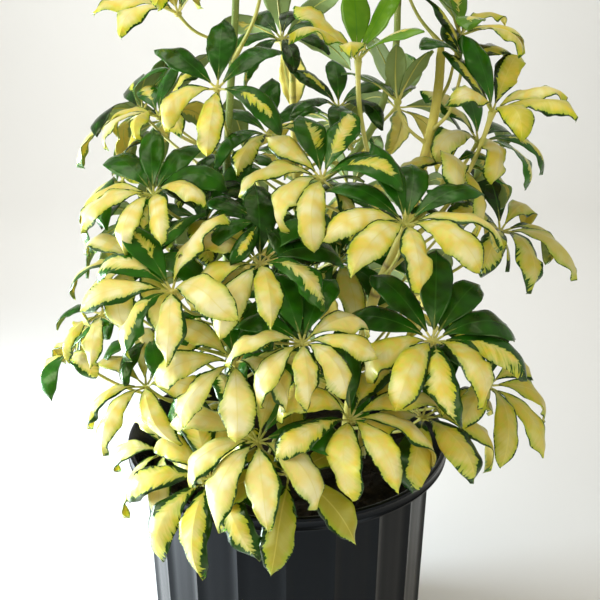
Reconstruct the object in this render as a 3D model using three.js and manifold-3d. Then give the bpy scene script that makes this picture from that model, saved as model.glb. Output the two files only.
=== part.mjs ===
// Variegated dwarf umbrella plant in a fluted nursery pot.
// Millimetres, +Z up, origin at the middle of the pot's base. The front faces -Y, the right is +X.
import * as THREE from 'three';
import { mergeVertices } from 'three/addons/utils/BufferGeometryUtils.js';
import Module from 'manifold-3d';

const wasm = await Module();
wasm.setup();

// Driving dimensions
const pot = {
  height: 240, lipRadius: 140, lipHeight: 12, lipEdge: 1.5, stepRadius: 131, stepDrop: 7, stepSlope: 2,
  topRadius: 127, baseRadius: 121, flutes: 20, fluteDepth: 3.4, wall: 2.4, lipWall: 4, floor: 4,
  drainHoles: 6, drainRadius: 6, drainRing: 78, drainSides: 12,
};
const soil = { level: 212, mound: 5, sides: 18, bumps: 5, middle: 0.72, inner: 0.36 };
const clearance = 0.3;
// How far a stem reaches down into the soil, its sides, and the room round it
const footDepth = 60;
const stemSides = 6;
const sleeveRoom = 0.4;

// One leaflet: length from the hub, widest width, and how it lifts at the hub, curls and sags; a
// larger late keeps more of the bend for the outer end
const leaflet = {
  length: 72, width: 23.2, stalkWidth: 2, keel: 2.4, stalkKeel: 1.7,
  lift: 27, curl: 80, sag: 0.75, late: 1.8,
};
// Share of the length and share of the width there; the first is at the hub, the last is the tip
const outline = [[0.06, 0], [0.2, 0], [0.42, 0.78], [0.66, 1], [0.87, 0.68]];
// A petiole leaves its stem below the hub, by more the farther out the hub is, and no lower than so
// far over the soil; then the shares of its length that its curve goes out, up and behind the hub
const petiole = {
  radius: 1.35, sides: 4, steps: 3, below: 14, fall: 0.42, lowest: 16, out: 0.34, up: 0.2, behind: 0.26,
};
const hub = { radius: 3.4, rise: 1.9, guard: 5 };
// Room that a leaf keeps to the leaves, stems and pot beside it
const clearing = 0.6;

// The view from the front in which hubs are placed: points across and down in a 600 by 600 picture
const view = { focal: 1000, middle: 300, right: 11, distance: 789, height: 660, down: 20.54 };

const radians = THREE.MathUtils.degToRad;
const vector = (x, y, z) => new THREE.Vector3(x, y, z);
const up = vector(0, 0, 1);

// A small repeatable random generator
function seeded(seed) {
  let state = seed;
  return () => {
    state = (state * 16807) % 2147483647;
    return state / 2147483647;
  };
}

// The place seen at (across, down) in the front view, so many millimetres in front of the axis
function seen(across, down, near) {
  const pitch = radians(view.down);
  const side = (across - view.middle) / view.focal;
  const rise = (view.middle - down) / view.focal;
  const ray = vector(
    side,
    Math.cos(pitch) + rise * Math.sin(pitch),
    -Math.sin(pitch) + rise * Math.cos(pitch),
  );
  const reach = (view.distance - near) / ray.y;
  return vector(view.right, -view.distance, view.height).addScaledVector(ray, reach);
}

// A place round the pot's axis: angle 0 is the front, 90 the right and 180 the back
function around(angle, out, height) {
  const turn = radians(angle);
  return vector(out * Math.sin(turn), -out * Math.cos(turn), height);
}

function toSolid(geometry) {
  const bare = geometry.clone();
  bare.deleteAttribute('normal');
  bare.deleteAttribute('uv');
  const merged = mergeVertices(bare, 1e-4);
  return new wasm.Manifold(new wasm.Mesh({
    numProp: 3,
    vertProperties: new Float32Array(merged.attributes.position.array),
    triVerts: new Uint32Array(merged.index.array),
  }));
}

// The solid's skin, without the slivers that a cut can leave
function toGeometry(solid) {
  const mesh = solid.getMesh();
  const rough = new THREE.BufferGeometry();
  rough.setAttribute('position', new THREE.BufferAttribute(mesh.vertProperties.slice(), 3));
  rough.setIndex(new THREE.BufferAttribute(mesh.triVerts.slice(), 1));
  const geometry = mergeVertices(rough, 0.01);
  const corners = Array.from(geometry.index.array);
  const kept = [];
  for (let i = 0; i < corners.length; i += 3) {
    const [a, b, c] = corners.slice(i, i + 3);
    if (a !== b && b !== c && c !== a) kept.push(a, b, c);
  }
  geometry.setIndex(kept);
  geometry.computeVertexNormals();
  return geometry;
}

// A closed skin over rings of equal length, bottom ring first, each ring anticlockwise from outside
function loft(rings, capFirst, capLast) {
  const count = rings[0].length;
  const points = rings.flat();
  const faces = [];
  for (let r = 0; r + 1 < rings.length; r += 1) {
    for (let i = 0; i < count; i += 1) {
      const a = r * count + i;
      const b = r * count + (i + 1) % count;
      faces.push([a, b, b + count], [a, b + count, a + count]);
    }
  }
  const last = (rings.length - 1) * count;
  const cap = (start, centre, flip) => {
    points.push(centre);
    for (let i = 0; i < count; i += 1) {
      const a = start + i;
      const b = start + (i + 1) % count;
      faces.push(flip ? [b, a, points.length - 1] : [a, b, points.length - 1]);
    }
  };
  if (capFirst) cap(0, capFirst, true);
  if (capLast) cap(last, capLast, false);
  return skin(points, faces);
}

function polygon(radius, sides) {
  const shape = new THREE.Shape();
  for (let i = 0; i < sides; i += 1) {
    const turn = (2 * Math.PI * i) / sides;
    shape[i ? 'lineTo' : 'moveTo'](radius * Math.cos(turn), radius * Math.sin(turn));
  }
  shape.closePath();
  return shape;
}

function rod(path, radius, sides, steps) {
  return new THREE.ExtrudeGeometry(polygon(radius, sides), { steps, extrudePath: path });
}

// Pot: fluted wall, step and lip outside, plain bore inside, drain holes through the floor
function makePot() {
  const perFlute = 3;
  const count = pot.flutes * perFlute;
  const turned = Array.from({ length: count }, (_, i) => (2 * Math.PI * i) / count);
  const fluteAt = (i) => (i % perFlute === 0 ? 0 : pot.fluteDepth);
  const ring = (radius, z, fluted) => turned.map((turn, i) => {
    const r = radius - (fluted ? fluteAt(i) : 0);
    return vector(r * Math.cos(turn), r * Math.sin(turn), z);
  });
  const lipFoot = pot.height - pot.lipHeight;
  const wallTop = lipFoot - pot.stepDrop;
  const bore = (radius) => radius - pot.fluteDepth - pot.wall;
  const rings = [
    ring(pot.baseRadius, 0, true),
    ring(pot.topRadius, wallTop, true),
    ring(pot.stepRadius, wallTop + pot.stepSlope, false),
    ring(pot.stepRadius, lipFoot, false),
    ring(pot.lipRadius, lipFoot, false),
    ring(pot.lipRadius, pot.height - pot.lipEdge, false),
    ring(pot.lipRadius - pot.lipEdge, pot.height, false),
    ring(pot.lipRadius - pot.lipWall, pot.height, false),
    ring(bore(pot.topRadius), wallTop, false),
    ring(bore(pot.baseRadius), pot.floor, false),
  ];
  let solid = toSolid(loft(rings, vector(0, 0, 0), vector(0, 0, pot.floor)));
  for (let i = 0; i < pot.drainHoles; i += 1) {
    const turn = (2 * Math.PI * (i + 0.5)) / pot.drainHoles;
    const hole = new THREE.CylinderGeometry(
      pot.drainRadius, pot.drainRadius, 4 * pot.floor, pot.drainSides,
    );
    hole.rotateX(Math.PI / 2);
    hole.translate(pot.drainRing * Math.cos(turn), pot.drainRing * Math.sin(turn), pot.floor / 2);
    solid = solid.subtract(toSolid(hole));
  }
  return solid;
}

// Soil: fills the bore, slightly heaped, with a plain hole for each stem
function makeSoil(holes) {
  const wallTop = pot.height - pot.lipHeight - pot.stepDrop;
  // The bore has many sides and the soil few, so the soil's corners keep clear of the bore's flats
  const flats = 0.2;
  const boreAt = (z) => {
    const outside = THREE.MathUtils.mapLinear(z, pot.floor, wallTop, pot.baseRadius, pot.topRadius);
    return outside - pot.fluteDepth - pot.wall - flats - clearance;
  };
  const random = seeded(41);
  const ring = (radius, z, bumps) => Array.from({ length: soil.sides }, (_, i) => {
    const turn = (2 * Math.PI * i) / soil.sides;
    return vector(
      radius * Math.cos(turn), radius * Math.sin(turn), z + bumps * (random() - 0.5),
    );
  });
  const floor = pot.floor + clearance;
  const rings = [
    ring(boreAt(floor), floor, 0),
    ring(boreAt(soil.level), soil.level, 0),
    ring(boreAt(soil.level) * soil.middle, soil.level + soil.mound * soil.middle, soil.bumps),
    ring(boreAt(soil.level) * soil.inner, soil.level + soil.mound, soil.bumps),
  ];
  let solid = toSolid(loft(rings, vector(0, 0, floor), vector(0, 0, soil.level + soil.mound)));
  for (const hole of holes) solid = solid.subtract(hole);
  return solid;
}

// Stems: each a curve from its foot in the soil to its tip
const stems = {
  left: {
    radius: 3.2,
    points: [
      vector(-52, 0, soil.level - footDepth), vector(-50, 0, 260), seen(226, 200, 6),
      seen(230, 100, 6), seen(236, 0, 6), vector(-36, -4, 672),
    ],
  },
  right: {
    radius: 4.3,
    points: [
      vector(48, -14, soil.level - footDepth), vector(52, -16, 260), seen(366, 325, 40),
      seen(377, 290, 52), seen(402, 236, 56), seen(424, 160, 40), seen(438, 92, 20), seen(441, 40, 16),
    ],
  },
  middle: {
    radius: 3.1,
    points: [
      vector(-6, 24, soil.level - footDepth), vector(-4, 24, 270), vector(2, 20, 360),
      vector(12, 24, 440), seen(366, 140, 2), seen(394, 60, 0), seen(398, 0, 0), vector(88, -2, 640),
    ],
  },
  back: {
    radius: 3.6,
    points: [
      vector(10, 66, soil.level - footDepth), vector(12, 68, 280), vector(10, 84, 400),
      vector(6, 88, 480), vector(4, 85, 552),
    ],
  },
};
for (const stem of Object.values(stems)) {
  stem.path = new THREE.CatmullRomCurve3(stem.points, false, 'centripetal');
}

// The stem's point at a height
function stemAt(stem, z) {
  let low = 0;
  let high = 1;
  for (let i = 0; i < 24; i += 1) {
    const middle = (low + high) / 2;
    if (stem.path.getPoint(middle).z < z) low = middle;
    else high = middle;
  }
  return stem.path.getPoint(low);
}

// Leaves, dominant ones first. turn is where the upper side faces (0 front, 90 right), tilt how far
// that is above level, size a share of a full leaf, first the angle of the first leaflet as seen,
// rise how much its leaflets still stand up, as on a new leaf, long how much lower its petiole starts
const leaves = [
  { hub: seen(406, 226, 118), stem: 'right', turn: 4, tilt: 71, size: 1.04, count: 9, first: 30 },
  { hub: seen(302, 344, 140), stem: 'middle', turn: 0, tilt: 67, size: 0.94, count: 9, first: 352 },
  { hub: seen(433, 342, 122), stem: 'right', turn: 8, tilt: 68, size: 1.1, count: 10, first: 12 },
  { hub: seen(218, 91, 74), stem: 'left', turn: -4, tilt: 57, size: 0.88, count: 6, first: 92 },
  { hub: seen(258, 442, 150), stem: 'middle', turn: -8, tilt: 68, size: 1.12, count: 9, first: 5 },
  { hub: seen(350, 420, 142), stem: 'right', turn: 6, tilt: 68, size: 1.08, count: 9, first: 14 },
  { hub: seen(154, 196, 62), stem: 'left', turn: -26, tilt: 68, size: 0.98, count: 9, first: 30 },
  { hub: seen(139, 268, 74), stem: 'left', turn: -36, tilt: 70, size: 1.04, count: 9, first: 12 },
  { hub: seen(260, 265, 104), stem: 'middle', turn: -6, tilt: 65, size: 1.04, count: 9, first: 50 },
  { hub: seen(322, 180, 84), stem: 'middle', turn: 0, tilt: 65, size: 1.02, count: 9, first: 20 },
  { hub: seen(492, 113, 52), stem: 'right',
    turn: 20, tilt: 70, size: 0.94, count: 7, first: 0, rise: 0.7, long: 45 },
  { hub: seen(357, 61, 56), stem: 'right',
    turn: -14, tilt: 72, size: 0.88, count: 6, first: 40, rise: 1, long: 80 },
  { hub: seen(172, 292, 112), stem: 'left', turn: -18, tilt: 68, size: 1.08, count: 9, first: 15 },
  { hub: seen(212, 480, 136), stem: 'left', turn: -30, tilt: 60, size: 1.16, count: 9, first: 4 },
  { hub: seen(235, 363, 128), stem: 'left', turn: -16, tilt: 66, size: 1.06, count: 8, first: 20 },
  { hub: seen(422, 418, 122), stem: 'right', turn: 24, tilt: 63, size: 1.12, count: 8, first: 6 },
  { hub: seen(146, 387, 84), stem: 'left', turn: -42, tilt: 66, size: 1.0, count: 7, first: 20 },
  { hub: seen(166, 452, 88), stem: 'left', turn: -50, tilt: 62, size: 1.04, count: 7, first: 10 },
  { hub: seen(500, 232, 34), stem: 'right', turn: 48, tilt: 67, size: 1.08, count: 8, first: 20 },
  { hub: seen(478, 142, 14), stem: 'right', turn: 64, tilt: 69, size: 1.04, count: 7, first: 0 },
  { hub: seen(450, 168, 46), stem: 'right', turn: 68, tilt: 66, size: 0.98, count: 7, first: 30 },
  { hub: seen(159, 117, 16), stem: 'left', turn: -60, tilt: 66, size: 0.84, count: 7, first: 5, rise: 0.3 },
  { hub: seen(178, 14, 12), stem: 'left', turn: -54, tilt: 74, size: 0.96, count: 8, first: 20, rise: 0.5 },
  { hub: seen(460, 36, 6), stem: 'right', turn: 60, tilt: 74, size: 0.9, count: 7, first: 0, rise: 0.6 },
  { hub: seen(397, 103, 36), stem: 'right', turn: 178, tilt: 70, size: 0.72, count: 6, first: 15, rise: 0.8 },
  { hub: seen(72, 355, 46), stem: 'left', turn: -64, tilt: 63, size: 0.72, count: 6, first: 10 },
  { hub: seen(487, 386, 82), stem: 'right', turn: 46, tilt: 55, size: 1.08, count: 8, first: 5 },
  { hub: seen(290, 476, 152), stem: 'middle', turn: 2, tilt: 54, size: 1.06, count: 6, first: 200 },
  { hub: seen(270, 136, 4), stem: 'middle', turn: -10, tilt: 72, size: 0.86, count: 7, first: 0 },
  { hub: seen(338, 264, 6), stem: 'middle', turn: 0, tilt: 68, size: 1.08, count: 9, first: 40 },
  { hub: seen(205, 222, 34), stem: 'left', turn: -20, tilt: 70, size: 1.0, count: 8, first: 12 },
  { hub: seen(463, 66, 40), stem: 'right', turn: 50, tilt: 70, size: 0.9, count: 6, first: 350, rise: 0.6 },
  { hub: seen(104, 316, 60), stem: 'left', turn: -52, tilt: 65, size: 0.8, count: 6, first: 25 },
  { hub: seen(338, 108, -8), stem: 'middle', turn: 10, tilt: 70, size: 0.74, count: 6, first: 20, rise: 0.3 },
  // Crown
  { hub: around(-80, 52, 676), stem: 'left', turn: -70, tilt: 56, size: 0.94, count: 6, first: 0 },
  { hub: around(-18, 44, 708), stem: 'left', turn: 0, tilt: 60, size: 0.88, count: 6, first: 20, long: 110 },
  { hub: around(42, 56, 668), stem: 'middle', turn: 40, tilt: 60, size: 0.92, count: 6, first: 10 },
  { hub: around(92, 92, 650), stem: 'right', turn: 70, tilt: 60, size: 0.9, count: 6, first: 0 },
  { hub: around(140, 66, 692), stem: 'middle', turn: 150, tilt: 56, size: 0.94, count: 6, first: 30 },
  { hub: around(215, 78, 642), stem: 'left', turn: 215, tilt: 54, size: 0.98, count: 6, first: 0 },
  // Back
  { hub: around(182, 148, 560), stem: 'back', turn: 180, tilt: 44, size: 1.1, count: 6, first: 20 },
  { hub: around(138, 146, 506), stem: 'back', turn: 136, tilt: 42, size: 1.12, count: 6, first: 0 },
  { hub: around(228, 142, 500), stem: 'back', turn: 222, tilt: 42, size: 1.12, count: 6, first: 10 },
  { hub: around(248, 130, 512), stem: 'left', turn: 250, tilt: 50, size: 1.04, count: 6, first: 5 },
  { hub: around(104, 152, 430), stem: 'right', turn: 108, tilt: 42, size: 1.06, count: 6, first: 25 },
  { hub: around(158, 158, 420), stem: 'back', turn: 156, tilt: 40, size: 1.14, count: 6, first: 0 },
  { hub: around(194, 162, 448), stem: 'back', turn: 192, tilt: 40, size: 1.14, count: 6, first: 15 },
  { hub: around(238, 154, 410), stem: 'left', turn: 236, tilt: 40, size: 1.12, count: 6, first: 30 },
  { hub: around(264, 134, 462), stem: 'left', turn: 268, tilt: 46, size: 1.04, count: 6, first: 0 },
  { hub: around(128, 152, 336), stem: 'right', turn: 126, tilt: 36, size: 1.12, count: 6, first: 10 },
  { hub: around(170, 156, 330), stem: 'back', turn: 170, tilt: 36, size: 1.14, count: 6, first: 22 },
  { hub: around(212, 154, 336), stem: 'back', turn: 212, tilt: 36, size: 1.14, count: 6, first: 5 },
  { hub: around(256, 150, 346), stem: 'left', turn: 258, tilt: 38, size: 1.08, count: 6, first: 18 },
  { hub: around(190, 152, 268), stem: 'back', turn: 190, tilt: 30, size: 1.0, count: 6, first: 0 },
];

// Everything that is already in its place: a solid and the box round it
const placed = [];

function boxed(solid, leaf) {
  return { solid, leaf, box: solid.boundingBox() };
}

function crosses(solid, others) {
  const box = solid.boundingBox();
  for (const other of others) {
    const apart = [0, 1, 2].some((k) => box.min[k] > other.box.max[k] || box.max[k] < other.box.min[k]);
    if (!apart) {
      const common = solid.intersect(other.solid);
      const empty = common.isEmpty();
      common.delete();
      if (!empty) return true;
    }
  }
  return false;
}

// The petiole climbs out of its stem and comes up behind the hub
function petiolePath(leaf, drop, swing) {
  const stem = stems[leaf.stem];
  const flat = Math.hypot(leaf.hub.x - stem.points[0].x, leaf.hub.y - stem.points[0].y);
  const top = stem.points[stem.points.length - 1].z - 2 * petiole.radius;
  const { long = 0 } = leaf;
  const wanted = leaf.hub.z - petiole.below - petiole.fall * flat - long - drop;
  const height = THREE.MathUtils.clamp(wanted, soil.level + petiole.lowest, top);
  const start = stemAt(stem, height);
  const length = start.distanceTo(leaf.hub);
  const outward = leaf.hub.clone().sub(start).setZ(0).normalize();
  const sideways = up.clone().cross(outward);
  const leave = start.clone()
    .addScaledVector(outward, petiole.out * length)
    .addScaledVector(up, petiole.up * length)
    .addScaledVector(sideways, swing * length);
  const arrive = leaf.hub.clone().addScaledVector(leaf.facing, -petiole.behind * length);
  return new THREE.CubicBezierCurve3(start, leave, arrive, leaf.hub);
}

function radialAt(leaf, angle) {
  const across = up.clone().cross(leaf.facing).normalize();
  const along = leaf.facing.clone().cross(across);
  const turn = radians(angle);
  return across.multiplyScalar(Math.cos(turn)).addScaledVector(along, Math.sin(turn));
}

// One leaflet's rings of three points (left edge, rib, right edge) and its tip
function leafletRings(leaf, blade, bend, extra) {
  const radial = radialAt(leaf, blade.angle + bend.turn);
  const tangential = leaf.facing.clone().cross(radial);
  const length = blade.length * bend.size;
  const half = (leaflet.width / 2) * blade.wide * bend.size;
  const rings = [];
  const spot = leaf.hub.clone();
  let before = 0;
  const directionAt = (share) => {
    const late = share ** leaflet.late;
    const slope = radians(leaflet.lift + blade.lift + bend.lift - (leaflet.curl + blade.curl) * late);
    return radial.clone().multiplyScalar(Math.cos(slope))
      .addScaledVector(leaf.facing, Math.sin(slope))
      .addScaledVector(up, -leaflet.sag * blade.sag * late)
      .normalize();
  };
  for (const [share, wide] of outline) {
    spot.addScaledVector(directionAt((share + before) / 2), length * (share - before));
    before = share;
    const direction = directionAt(share);
    const level = tangential.clone().addScaledVector(direction, -tangential.dot(direction)).normalize();
    const roll = radians(blade.roll) * share;
    const leftward = level.clone().multiplyScalar(Math.cos(roll))
      .addScaledVector(direction.clone().cross(level), Math.sin(roll));
    const upward = direction.clone().cross(leftward);
    const reach = Math.max(half * wide, leaflet.stalkWidth / 2) + extra;
    const keel = THREE.MathUtils.lerp(leaflet.stalkKeel, leaflet.keel, wide);
    const at = (sideways, height) => spot.clone()
      .addScaledVector(leftward, sideways)
      .addScaledVector(upward, height);
    rings.push([
      at(reach, -keel / 2 - extra), at(0, keel / 2 + extra), at(-reach, -keel / 2 - extra),
    ]);
  }
  spot.addScaledVector(directionAt((1 + before) / 2), length * (1 - before) + extra);
  return { rings, tip: spot, angle: blade.angle + bend.turn };
}

// Faces of a tapering three-sided strip from a first ring of point numbers to the tip
function addStrip(points, faces, first, rings, tip) {
  let ring = first;
  for (const corners of rings) {
    const next = corners.map((corner) => points.push(corner) - 1);
    for (let j = 0; j < 3; j += 1) {
      const k = (j + 1) % 3;
      faces.push([ring[j], ring[k], next[k]], [ring[j], next[k], next[j]]);
    }
    ring = next;
  }
  const end = points.push(tip) - 1;
  for (let j = 0; j < 3; j += 1) faces.push([ring[j], ring[(j + 1) % 3], end]);
}

function skin(points, faces) {
  const geometry = new THREE.BufferGeometry();
  const flat = points.flatMap((p) => [p.x, p.y, p.z]);
  geometry.setAttribute('position', new THREE.BufferAttribute(new Float32Array(flat), 3));
  geometry.setIndex(faces.flat());
  return geometry;
}

// A leaflet by itself, from one of its rings to the tip
function leafletSolid({ rings, tip }, from) {
  const points = [...rings[from]];
  const faces = [[2, 1, 0]];
  addStrip(points, faces, [0, 1, 2], rings.slice(from + 1), tip);
  return toSolid(skin(points, faces));
}

// Hub and leaflets in one skin: neighbouring leaflets share a point between them at the hub
function umbrella(leaf, blades) {
  const points = [];
  const faces = [];
  const put = (point) => points.push(point) - 1;
  const count = blades.length;
  const above = put(leaf.hub.clone().addScaledVector(leaf.facing, hub.rise));
  const below = put(leaf.hub.clone().addScaledVector(leaf.facing, -hub.rise));
  const gap = (i) => (i + 1 < count ? blades[i + 1].angle : blades[0].angle + 360) - blades[i].angle;
  const between = blades.map((blade, i) => {
    const angle = blade.angle + gap(i) / 2;
    return put(leaf.hub.clone().addScaledVector(radialAt(leaf, angle), hub.radius));
  });
  blades.forEach((blade, i) => {
    const left = between[i];
    const right = between[(i + count - 1) % count];
    const top = put(leaf.hub.clone()
      .addScaledVector(radialAt(leaf, blade.angle), hub.radius)
      .addScaledVector(leaf.facing, leaflet.stalkKeel * 0.8));
    faces.push([above, right, top], [above, top, left], [below, left, right]);
    addStrip(points, faces, [left, top, right], blade.rings.slice(1), blade.tip);
  });
  return toSolid(skin(points, faces));
}

// Ways to bend a leaflet clear of its neighbours, gentlest first
const bends = [];
for (const size of [1, 0.86, 0.72]) {
  for (const reach of [0, 1, 2, 3]) {
    for (const [lift, turn] of [[1, 0], [-1, 0], [0, 1], [0, -1], [1, 1], [-1, -1], [1, -1], [-1, 1]]) {
      if (reach || (lift === 1 && turn === 0)) {
        bends.push({ size, lift: 9 * reach * lift, turn: 6 * reach * turn });
      }
    }
  }
}

const finishes = {
  pot: new THREE.MeshStandardMaterial({ color: 0x15171a, roughness: 0.35, metalness: 0 }),
  soil: new THREE.MeshStandardMaterial({ color: 0x2a1f17, roughness: 0.95, metalness: 0 }),
  bark: new THREE.MeshStandardMaterial({ color: 0x8c9446, roughness: 0.6, metalness: 0 }),
  leaf: new THREE.MeshStandardMaterial({ color: 0xd9cc62, roughness: 0.35, metalness: 0 }),
};
const plant = new THREE.Group();

function addNode(name, solid, finish) {
  const mesh = new THREE.Mesh(toGeometry(solid), finishes[finish]);
  mesh.name = name;
  plant.add(mesh);
}

const potSolid = makePot();
placed.push(boxed(potSolid));
addNode('pot', potSolid, 'pot');

for (const [name, stem] of Object.entries(stems)) {
  const steps = 2 * stem.points.length;
  stem.solid = toSolid(rod(stem.path, stem.radius, stemSides, steps));
  // The sleeve is the room round a stem: its hole in the soil and the gap at each petiole
  const [foot, ...rest] = stem.points;
  const lower = foot.clone().setZ(foot.z - clearance);
  const longer = new THREE.CatmullRomCurve3([lower, ...rest], false, 'centripetal');
  stem.sleeve = toSolid(rod(longer, stem.radius + sleeveRoom, stemSides, steps));
  addNode(`stem_${name}`, stem.solid, 'bark');
}
const holes = Object.values(stems).map((stem) => stem.sleeve);
const soilSolid = makeSoil(holes);
placed.push(boxed(soilSolid));
addNode('soil', soilSolid, 'soil');

// Petioles of all leaves come first, then the leaflets bend clear of them
const drops = [0, 12, -8, 24, 36, -16, -30, -50];
const swings = [0, 0.1, -0.1, 0.2, -0.2, 0.3, -0.3];
leaves.forEach((leaf) => {
  const turn = radians(leaf.turn);
  const tilt = radians(leaf.tilt);
  leaf.facing = vector(
    Math.cos(tilt) * Math.sin(turn), -Math.cos(tilt) * Math.cos(turn), Math.sin(tilt),
  );
  const own = stems[leaf.stem];
  const otherStems = Object.values(stems).filter((stem) => stem !== own)
    .map((stem) => boxed(stem.solid));
  const ways = swings.flatMap((swing) => drops.map((drop) => [drop, swing]));
  const fits = ([drop, swing]) => {
    const path = petiolePath(leaf, drop, swing);
    const fat = toSolid(rod(path, petiole.radius + clearing, petiole.sides, petiole.steps))
      .subtract(own.sleeve);
    return !crosses(fat, placed) && !crosses(fat, otherStems);
  };
  const way = ways.find(fits);
  const path = petiolePath(leaf, ...way);
  leaf.solid = toSolid(rod(path, petiole.radius, petiole.sides, petiole.steps)).subtract(own.sleeve);
  const guard = new THREE.OctahedronGeometry(hub.guard);
  guard.translate(leaf.hub.x, leaf.hub.y, leaf.hub.z);
  placed.push(boxed(leaf.solid, leaf), boxed(toSolid(guard), leaf));
});
for (const stem of Object.values(stems)) placed.push(boxed(stem.solid));

leaves.forEach((leaf, index) => {
  const random = seeded(900 + 37 * index);
  const { rise = 0 } = leaf;
  const others = placed.filter((item) => item.leaf !== leaf);
  const blades = Array.from({ length: leaf.count }, (_, i) => {
    const angle = leaf.first + (360 * i) / leaf.count + 8 * (random() - 0.5);
    // Leaflets on the low side and the flanks hang, those on the high side stand up
    const low = Math.min(1, 0.8 * (1 - Math.sin(radians(angle))));
    return {
      angle,
      length: leaflet.length * leaf.size * (0.9 + 0.1 * low + 0.1 * (random() - 0.5)),
      wide: leaf.size * (0.9 + 0.24 * random()),
      lift: 14 * (random() - 0.5) + 11 * (1 - low) + 22 * rise,
      curl: -38 * (1 - low) + 36 * (random() - 0.5) - 44 * rise,
      sag: (0.15 + 0.95 * low) * (0.65 + 0.8 * random()) * (1 - rise),
      roll: 20 * (random() - 0.5),
    };
  });
  const parts = [];
  const beside = [];
  for (const blade of blades) {
    const bend = bends.find((way) => {
      const fat = leafletRings(leaf, blade, way, clearing);
      const whole = leafletSolid(fat, 0);
      const outer = leafletSolid(fat, 1);
      const free = !crosses(whole, others) && !crosses(outer, beside);
      whole.delete();
      outer.delete();
      return free;
    });
    if (bend) {
      const part = leafletRings(leaf, blade, bend, 0);
      parts.push(part);
      beside.push(boxed(leafletSolid(part, 1), leaf));
      placed.push(boxed(leafletSolid(part, 0), leaf));
    }
  }
  const number = String(index + 1).padStart(2, '0');
  addNode(`leaf_${number}`, leaf.solid.add(umbrella(leaf, parts)), 'leaf');
});

export default plant;
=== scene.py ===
# Potted umbrella plant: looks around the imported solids. Metres, +Z up, the front faces -Y.
import math
import random

import bmesh
import bpy
import numpy as np
from mathutils import Matrix, Vector


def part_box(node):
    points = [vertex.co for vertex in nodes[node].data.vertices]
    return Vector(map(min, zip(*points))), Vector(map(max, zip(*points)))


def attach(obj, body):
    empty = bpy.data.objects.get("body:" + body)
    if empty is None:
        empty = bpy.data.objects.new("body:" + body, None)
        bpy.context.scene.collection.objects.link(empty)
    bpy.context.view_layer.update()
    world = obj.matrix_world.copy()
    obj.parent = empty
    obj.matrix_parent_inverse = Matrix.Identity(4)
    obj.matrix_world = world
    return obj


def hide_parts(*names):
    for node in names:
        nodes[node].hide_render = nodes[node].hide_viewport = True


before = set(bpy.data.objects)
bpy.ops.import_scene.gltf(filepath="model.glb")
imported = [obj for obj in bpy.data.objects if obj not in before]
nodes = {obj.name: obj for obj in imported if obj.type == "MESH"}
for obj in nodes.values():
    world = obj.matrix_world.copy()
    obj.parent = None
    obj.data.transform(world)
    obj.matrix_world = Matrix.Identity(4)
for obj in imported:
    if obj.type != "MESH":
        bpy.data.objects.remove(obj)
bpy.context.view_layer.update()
print("frame loaded:", len(nodes), "nodes")

view = {"place": (0.011, -0.789, 0.660), "down": 20.54, "lens": 60, "sensor": 36, "near": 0.02}


def selectNothing():
    if bpy.context.mode != "OBJECT":
        bpy.ops.object.mode_set(mode="OBJECT")
    bpy.ops.object.select_all(action="DESELECT")


selectNothing()
bpy.ops.object.camera_add(location=view["place"], rotation=(math.radians(90 - view["down"]), 0, 0))
camera = bpy.context.object
camera.data.lens = view["lens"]
camera.data.sensor_width = view["sensor"]
camera.data.clip_start = view["near"]
bpy.context.scene.camera = camera
bpy.context.scene.view_settings.view_transform = "Standard"
print("camera placed")


# Material helpers
def newMaterial(name, finish):
    material = bpy.data.materials.new(name)
    material.use_nodes = True
    shader = material.node_tree.nodes["Principled BSDF"]
    for socket, value in finish.items():
        shader.inputs[socket].default_value = value
    return material, material.node_tree, shader


def connect(tree, shader, outputs):
    for socket, output in outputs.items():
        tree.links.new(output, shader.inputs[socket])


def addNode(tree, kind, values=None, **settings):
    node = tree.nodes.new(kind)
    for name, value in settings.items():
        setattr(node, name, value)
    for name, value in (values or {}).items():
        if isinstance(value, bpy.types.NodeSocket):
            tree.links.new(value, node.inputs[name])
        else:
            node.inputs[name].default_value = value
    return node


def maths(tree, operation, *values):
    return addNode(tree, "ShaderNodeMath", dict(enumerate(values)), operation=operation).outputs[0]


def plus(tree, first, *others):
    for other in others:
        first = maths(tree, "ADD", first, other)
    return first


def minus(tree, first, second):
    return maths(tree, "SUBTRACT", first, second)


def times(tree, first, second):
    return maths(tree, "MULTIPLY", first, second)


def fit(tree, value, low, high, newLow=0.0, newHigh=1.0, smooth=False):
    kind = "SMOOTHSTEP" if smooth else "LINEAR"
    node = addNode(tree, "ShaderNodeMapRange", {
        "Value": value, "From Min": low, "From Max": high, "To Min": newLow, "To Max": newHigh,
    }, interpolation_type=kind, clamp=True)
    return node.outputs["Result"]


def mixColour(tree, share, first, second):
    node = addNode(tree, "ShaderNodeMix", data_type="RGBA")
    for socket, value in ((node.inputs[0], share), (node.inputs[6], first), (node.inputs[7], second)):
        if isinstance(value, bpy.types.NodeSocket):
            tree.links.new(value, socket)
        else:
            socket.default_value = linear(value) if isinstance(value, str) else value
    return node.outputs[2]


def ramp(tree, value, stops):
    node = addNode(tree, "ShaderNodeValToRGB", {"Fac": value})
    band = node.color_ramp
    while len(band.elements) < len(stops):
        band.elements.new(0.5)
    for element, (place, colour) in zip(band.elements, stops):
        element.position = place
        element.color = linear(colour)
    return node.outputs["Color"]


def noiseAt(tree, place, scale, detail=2.0, roughness=0.5):
    node = addNode(tree, "ShaderNodeTexNoise", {
        "Vector": place, "Scale": scale, "Detail": detail, "Roughness": roughness,
    })
    return node.outputs["Fac"]


def attribute(tree, name, output="Vector"):
    return addNode(tree, "ShaderNodeAttribute", attribute_name=name).outputs[output]


def objectPlace(tree):
    return addNode(tree, "ShaderNodeTexCoord").outputs["Object"]


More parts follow.
